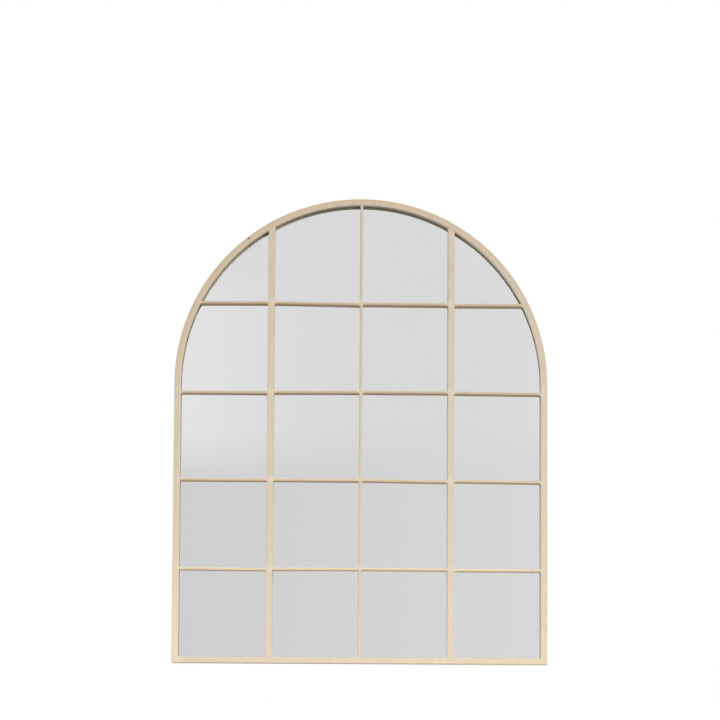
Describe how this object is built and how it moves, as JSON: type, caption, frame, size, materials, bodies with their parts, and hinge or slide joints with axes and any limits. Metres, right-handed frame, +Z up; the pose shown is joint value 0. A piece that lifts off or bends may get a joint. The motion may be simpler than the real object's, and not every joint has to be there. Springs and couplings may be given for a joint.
{
  "type": "arched mirror",
  "caption": "Arched wall mirror behind a cream-painted metal window-pane grid, with a half-round top, a backing board and swinging hanger rings.",
  "frame": {"origin": "on the wall plane, midway between the two wall hooks that carry the mirror, 200 mm below its top edge", "axes": "+Z up, +Y into the wall, so the mirror faces -Y; +X to the viewer's right"},
  "size_m": [0.8, 0.0395, 0.9999],
  "materials": {
    "frame_paint": "matte cream powder coat, faintly mottled",
    "mirror": "clear silvered glass",
    "board": "raw medium-density fibreboard",
    "foam_tape": "white foam",
    "rubber": "matte black rubber",
    "zinc": "bright zinc plate"
  },
  "bodies": {
    "root": {"arch_tube": "frame_paint", "left_leg": "frame_paint", "right_leg": "frame_paint", "bottom_rail": "frame_paint", "left_upright": "frame_paint", "right_upright": "frame_paint", "centre_bar": "frame_paint", "row_1_bar_1": "frame_paint", "row_1_bar_2": "frame_paint", "row_1_bar_3": "frame_paint", "row_1_bar_4": "frame_paint", "row_2_bar_1": "frame_paint", "row_2_bar_2": "frame_paint", "row_2_bar_3": "frame_paint", "row_2_bar_4": "frame_paint", "row_3_bar_1": "frame_paint", "row_3_bar_2": "frame_paint", "row_3_bar_3": "frame_paint", "row_3_bar_4": "frame_paint", "row_4_bar_1": "frame_paint", "row_4_bar_2": "frame_paint", "row_4_bar_3": "frame_paint", "row_4_bar_4": "frame_paint", "retaining_clips": "frame_paint", "mirror_glass": "mirror", "mounting_tape": "foam_tape", "setting_pads": "rubber", "wall_bumpers": "rubber", "backing_board": "board", "clip_screws": "zinc", "hanger_screws": "zinc", "left_hanger_strap": "zinc", "right_hanger_strap": "zinc"},
    "left_ring": {"left_d_ring": "zinc"},
    "right_ring": {"right_d_ring": "zinc"}
  },
  "joints": [
    {"name": "left_ring_swing", "type": "hinge", "parent": "root", "child": "left_ring", "pos_m": [-0.24, -0.0034, -0.0225], "axis": [1, 0, 0], "range_deg": [0, 180]},
    {"name": "right_ring_swing", "type": "hinge", "parent": "root", "child": "right_ring", "pos_m": [0.24, -0.0034, -0.0225], "axis": [1, 0, 0], "range_deg": [0, 180]}
  ]
}
